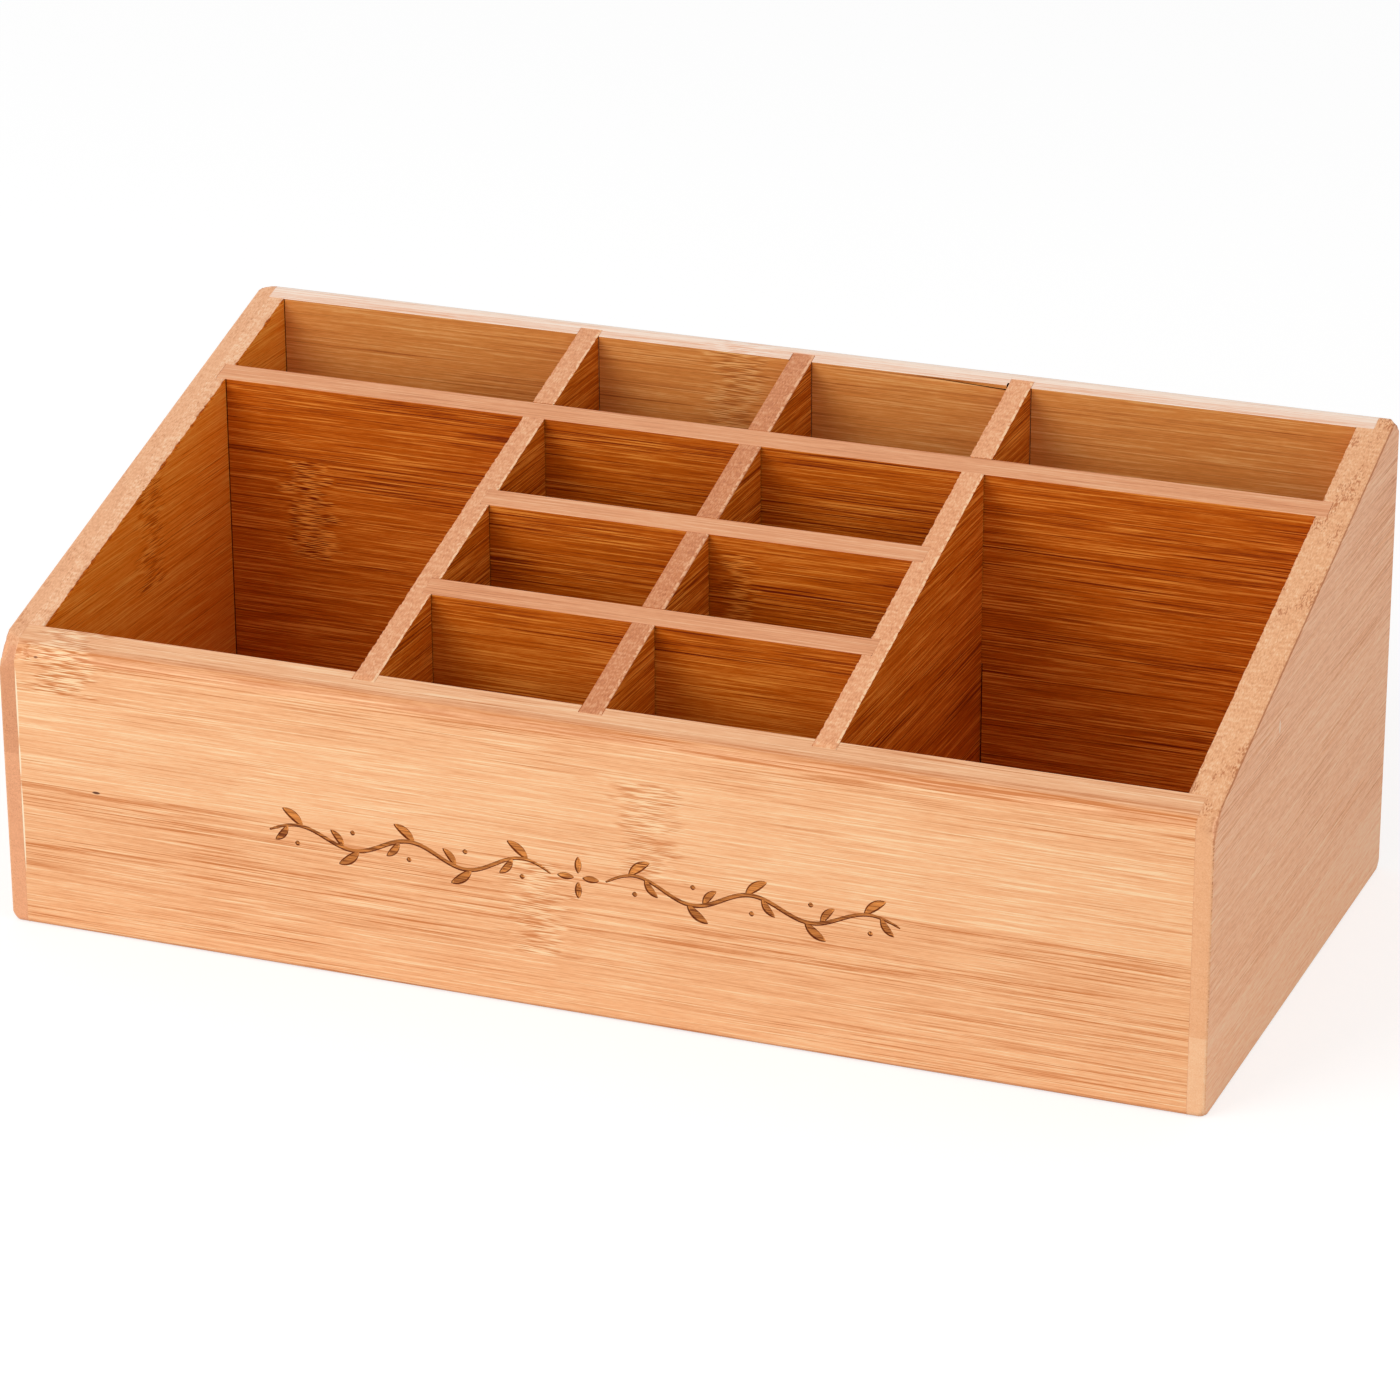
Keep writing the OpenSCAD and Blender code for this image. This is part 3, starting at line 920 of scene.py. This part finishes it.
# How far they start in front of the panel, and how far they reach into the divider
SPLINTER_START, SPLINTER_END = 0.2, 0.02


def make_cutter(mesh):
    """A closed bmesh as an object that only cuts."""
    bmesh.ops.recalc_face_normals(mesh, faces=mesh.faces)
    cutter = add_object("cutter", mesh)
    cutter.hide_render = True
    return cutter


def stroke(path, widths, depth):
    """Cutter for one engraved stroke along a path of X and Z, as wide as said at each point."""
    mesh = bmesh.new()
    rings = []
    for index, (x, z) in enumerate(path):
        before, after = path[max(index - 1, 0)], path[min(index + 1, len(path) - 1)]
        run = Vector((after[0] - before[0], after[1] - before[1])).normalized()
        half = widths[index] / 2
        top = (half * (1 + (1 - FLOOR_SHARE) * STROKE_TOP / depth), STROKE_TOP)
        floor = (half * FLOOR_SHARE, -depth)
        ring = []
        for side, (reach, out) in ((1, top), (-1, top), (-1, floor), (1, floor)):
            across, up = x - side * run.y * reach, z + side * run.x * reach
            ring.append(mesh.verts.new((across * MM, FRONT_FACE - out * MM, up * MM)))
        rings.append(ring)
    for ring, following in zip(rings, rings[1:]):
        for corner in range(4):
            other = (corner + 1) % 4
            face = mesh.faces.new((ring[corner], ring[other], following[other], following[corner]))
            face.material_index = FLOOR_FINISH if corner == 2 else WALL_FINISH
    for ring in (rings[0], rings[-1]):
        mesh.faces.new(ring).material_index = WALL_FINISH
    return make_cutter(mesh)


def swell(share, end, power):
    """Width share of a stroke along its length, pointed at both ends."""
    return end + (1 - end) * math.sin(math.pi * share) ** power


def leaf(x, z, angle, length, width, bend, depth):
    """A leaf or petal as one swelling stroke, bent to one side."""
    path, widths = [], []
    for step in range(LEAF_STEPS + 1):
        share = step / LEAF_STEPS
        side = bend * math.sin(math.pi * share)
        path.append((
            x + math.cos(angle) * share * length - math.sin(angle) * side,
            z + math.sin(angle) * share * length + math.cos(angle) * side,
        ))
        widths.append(width * swell(share, *LEAF_SWELL))
    return stroke(path, widths, depth)


def vine(side):
    """One vine of the garland: a waving stem with two leaves and a berry at each turn."""
    def stem(share):
        rise = VINE_RISE * (1 - VINE_LOSS * share)
        x = VINE_START + VINE_LENGTH * share
        z = rise * math.sin(2 * math.pi * VINE_WAVES * share)
        return ORNAMENT_X + side * x, ORNAMENT_Z + z

    def mirrored(angle):
        return angle if side > 0 else math.pi - angle

    shares = [step / STEM_STEPS for step in range(STEM_STEPS + 1)]
    widths = [STEM_WIDTH * swell(share, *STEM_SWELL) for share in shares]
    cutters = [stroke([stem(share) for share in shares], widths, ENGRAVING_DEPTH)]
    turns = round(2 * VINE_WAVES)
    for turn in range(turns):
        up = 1 if turn % 2 == 0 else -1
        share = (turn + 0.5) / turns
        bend = up * side * LEAF_BEND
        x, z = stem(share + LEAF_PLACE)
        angle = mirrored(up * LEAF_ANGLE)
        cutters.append(leaf(x, z, angle, LEAF_LENGTH, LEAF_WIDTH, bend, LEAF_DEPTH))
        x, z = stem(share + SMALL_LEAF_PLACE)
        angle = mirrored(-up * SMALL_LEAF_ANGLE)
        length, width = LEAF_LENGTH * SMALL_LEAF, LEAF_WIDTH * SMALL_LEAF
        cutters.append(leaf(x, z, angle, length, width, -bend, SMALL_LEAF_DEPTH))
        x, z = stem(share)
        x, z = x - side * BERRY_SIZE / 2, z - up * BERRY_RISE
        cutters.append(leaf(x, z, mirrored(0.0), BERRY_SIZE, BERRY_SIZE, 0.0, BERRY_DEPTH))
    return cutters


def ornament():
    """The garland's cutters: four petals round the middle, and a vine to either side."""
    cutters = []
    for quarter in range(4):
        angle = quarter * math.pi / 2
        x = ORNAMENT_X + PETAL_START * math.cos(angle)
        z = ORNAMENT_Z + PETAL_START * math.sin(angle)
        cutters.append(leaf(x, z, angle, PETAL_LENGTH, PETAL_WIDTH, 0.0, ENGRAVING_DEPTH))
    return cutters + vine(1) + vine(-1)


def hollow(ends, depth):
    """Cutter into the back panel's inner face, with a section at either end."""
    face, rim = INNER_BACK / MM, rim_height(INNER_BACK) / MM
    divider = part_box("right_divider")[0].x / MM + SPLINTER_END
    front, back = face - SPLINTER_START, face + depth
    mesh = bmesh.new()
    verts = []
    for away, low, high in ends:
        for y, z in ((front, low), (back, low), (back, high), (front, high)):
            verts.append(mesh.verts.new(Vector((divider + away, y, rim + z)) * MM))
    # The crack and the chip are painted near-black inside, as shade
    for ring in ((0, 1, 2, 3), (4, 5, 6, 7), (0, 1, 5, 4), (1, 2, 6, 5), (2, 3, 7, 6), (3, 0, 4, 7)):
        mesh.faces.new([verts[corner] for corner in ring]).material_index = SHADED_JOINT_FINISH
    return make_cutter(mesh)


def camera():
    """A camera at the photograph's place, angle and lens."""
    data = bpy.data.cameras.new("camera")
    data.sensor_width, data.lens = SENSOR_WIDTH, CAMERA_LENS
    data.clip_start, data.clip_end = CAMERA_CLIP
    shot = bpy.data.objects.new("camera", data)
    shot.location = CAMERA_PLACE
    turn = Euler((math.pi / 2 - CAMERA_ELEVATION, 0.0, CAMERA_AZIMUTH)).to_matrix()
    roll = Euler((0.0, 0.0, CAMERA_ROLL)).to_matrix()
    shot.rotation_euler = (turn @ roll).to_euler()
    bpy.context.scene.collection.objects.link(shot)
    bpy.context.scene.camera = shot


def area_light(name, place, size, power):
    """A square lamp that is aimed at the object."""
    data = bpy.data.lights.new(name, "AREA")
    data.shape, data.size, data.energy = "SQUARE", size, power
    lamp = bpy.data.objects.new(name, data)
    lamp.location = place
    lamp.rotation_euler = (LIGHT_AIM - Vector(place)).to_track_quat("-Z", "Y").to_euler()
    bpy.context.scene.collection.objects.link(lamp)


def sky():
    """Even soft light all round, and white where the camera and gloss see it."""
    world = bpy.data.worlds.new("sky")
    world.use_nodes = True
    bpy.context.scene.world = world
    tree = world.node_tree
    tree.nodes.clear()
    path = tree.nodes.new("ShaderNodeLightPath")
    seen = tree.nodes.new("ShaderNodeMath")
    seen.operation, seen.use_clamp = "ADD", True
    tree.links.new(path.outputs["Is Camera Ray"], seen.inputs[0])
    tree.links.new(path.outputs["Is Glossy Ray"], seen.inputs[1])
    strength = tree.nodes.new("ShaderNodeMapRange")
    strength.inputs["To Min"].default_value = SKY_STRENGTH
    strength.inputs["To Max"].default_value = 1.0
    tree.links.new(seen.outputs[0], strength.inputs["Value"])
    background = tree.nodes.new("ShaderNodeBackground")
    background.inputs["Color"].default_value = WHITE
    tree.links.new(strength.outputs[0], background.inputs["Strength"])
    output = tree.nodes.new("ShaderNodeOutputWorld")
    tree.links.new(background.outputs[0], output.inputs["Surface"])


def floor():
    """A pale floor, white to the camera but for the object's soft shadow."""
    graph = Graph("floor")
    pale = graph.add("ShaderNodeBsdfDiffuse", {"Color": FLOOR_GREY})
    glow = graph.add("ShaderNodeEmission", {"Color": WHITE, "Strength": FLOOR_GLOW})
    matt = graph.add("ShaderNodeBsdfDiffuse", {"Color": SHOWN_GREY})
    shown = graph.add("ShaderNodeAddShader", {0: matt.outputs[0], 1: glow.outputs[0]})
    seen = graph.add("ShaderNodeLightPath").outputs["Is Camera Ray"]
    both = graph.add("ShaderNodeMixShader", {0: seen, 1: pale.outputs[0], 2: shown.outputs[0]})
    graph.add("ShaderNodeOutputMaterial", {0: both.outputs[0]})
    mesh = bmesh.new()
    corners = ((-1, -1), (1, -1), (1, 1), (-1, 1))
    mesh.faces.new([mesh.verts.new((x * FLOOR_HALF, y * FLOOR_HALF, 0.0)) for x, y in corners])
    ground = add_object("floor", mesh)
    ground.data.materials.append(graph.material)
    ground.location.z = -FLOOR_DROP


def dress(seed, name, board):
    """One board with its finishes and the marks that are cut into it."""
    finishes = []
    for place, finish in zip(FINISH_PLACES, board.finishes):
        finishes.append(bamboo(name + "_" + place, board, seed, finish))
    cutters = ()
    if name == "front_panel":
        finishes.append(bamboo("engraving_floor", board, seed, "engraved"))
        # The engraving's walls take the inner colours, which are painted shade, and are burnt darker
        # still
        finishes.append(bamboo("engraving_wall", board, seed, "inner", burn=0.7))
        cutters = ornament()
    if name == "back_panel":
        cutters = (hollow(*CRACK), hollow(*CHIP))
    board_piece(name, finishes, cutters)


bpy.context.scene.view_settings.view_transform = "Standard"
camera()
sky()
floor()
for name, (place, size, power) in LIGHTS.items():
    area_light(name, place, size, power)
for seed, (name, board) in enumerate(BOARDS.items(), 1):
    dress(seed, name, board)
